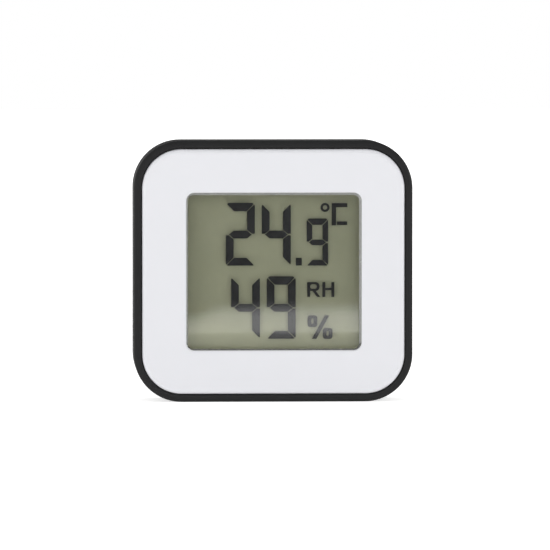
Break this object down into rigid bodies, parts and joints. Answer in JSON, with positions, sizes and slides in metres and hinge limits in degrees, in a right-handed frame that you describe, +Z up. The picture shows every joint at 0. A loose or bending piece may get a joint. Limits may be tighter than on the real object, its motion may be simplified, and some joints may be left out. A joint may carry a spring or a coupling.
{
  "type": "digital thermometer",
  "caption": "Small square indoor thermometer and humidity meter: white panel with a liquid crystal readout in a black housing, sliding battery door, fold-out stand and back magnets.",
  "frame": {"origin": "middle of the base at the middle of the depth, where the thermometer stands upright", "axes": "+X to the right as the reader faces the readout, +Y from the face to the back, +Z up"},
  "size_m": [0.055, 0.016, 0.0514],
  "materials": {
    "black_abs": "fine spark-eroded texture",
    "white_abs": "satin",
    "black_tape": "matt",
    "clear_acrylic": "polished",
    "black_foam": "matt foam",
    "polarizing_film": "smooth film",
    "readout_glass": "polished",
    "seal_resin": "cured resin",
    "reflecting_film": "satin",
    "natural_abs": "moulded",
    "strip_silicone": "matt",
    "glass_epoxy_board": "solder mask",
    "zinc_plated_steel": "zinc plated",
    "black_resin": "poured resin",
    "nickel_plated_can": "nickel plated",
    "capacitor_ceramic": "fired ceramic",
    "resistor_glaze": "glazed",
    "tinned_steel": "tin plated",
    "sensor_case": "moulded",
    "bead_resin": "dipped resin",
    "switch_case": "moulded",
    "stem_plastic": "moulded",
    "grey_abs": "moulded",
    "nickel_plated_magnet": "nickel plated",
    "cell_steel": "brushed nickel",
    "spring_steel": "nickel plated"
  },
  "bodies": {
    "housing": {"rear_housing": "black_abs", "front_panel": "white_abs", "lens_tape": "black_tape", "window_lens": "clear_acrylic", "lens_gasket": "black_foam", "front_polarizer": "polarizing_film", "front_glass": "readout_glass", "crystal_seal": "seal_resin", "rear_glass": "readout_glass", "reflector_film": "reflecting_film", "readout_frame": "natural_abs", "contact_strip": "strip_silicone", "circuit_board": "glass_epoxy_board", "board_screws": "zinc_plated_steel", "chip_blob": "black_resin", "quartz_crystal": "nickel_plated_can", "capacitors": "capacitor_ceramic", "resistors": "resistor_glaze", "radio_shield": "tinned_steel", "humidity_sensor": "sensor_case", "temperature_bead": "bead_resin", "tact_switch": "switch_case", "magnet_left": "nickel_plated_magnet", "magnet_right": "nickel_plated_magnet", "button_cell": "cell_steel", "leaf_contact": "spring_steel", "edge_contact": "spring_steel"},
    "door": {"battery_door": "black_abs"},
    "stand": {"stand_leg": "black_abs"},
    "button": {"unit_button": "grey_abs", "switch_stem": "stem_plastic"}
  },
  "joints": [
    {"name": "door_slide", "type": "slide", "parent": "housing", "child": "door", "axis": [0, 0, 1], "range_m": [0, 0.0256]},
    {"name": "stand_hinge", "type": "hinge", "parent": "housing", "child": "stand", "pos_m": [0, 0.00688, 0.0224], "axis": [1, 0, 0], "range_deg": [0, 35]},
    {"name": "button_press", "type": "slide", "parent": "housing", "child": "button", "axis": [0, -1, 0], "range_m": [0, 0.0003], "stiffness_N_per_m": 4000}
  ]
}
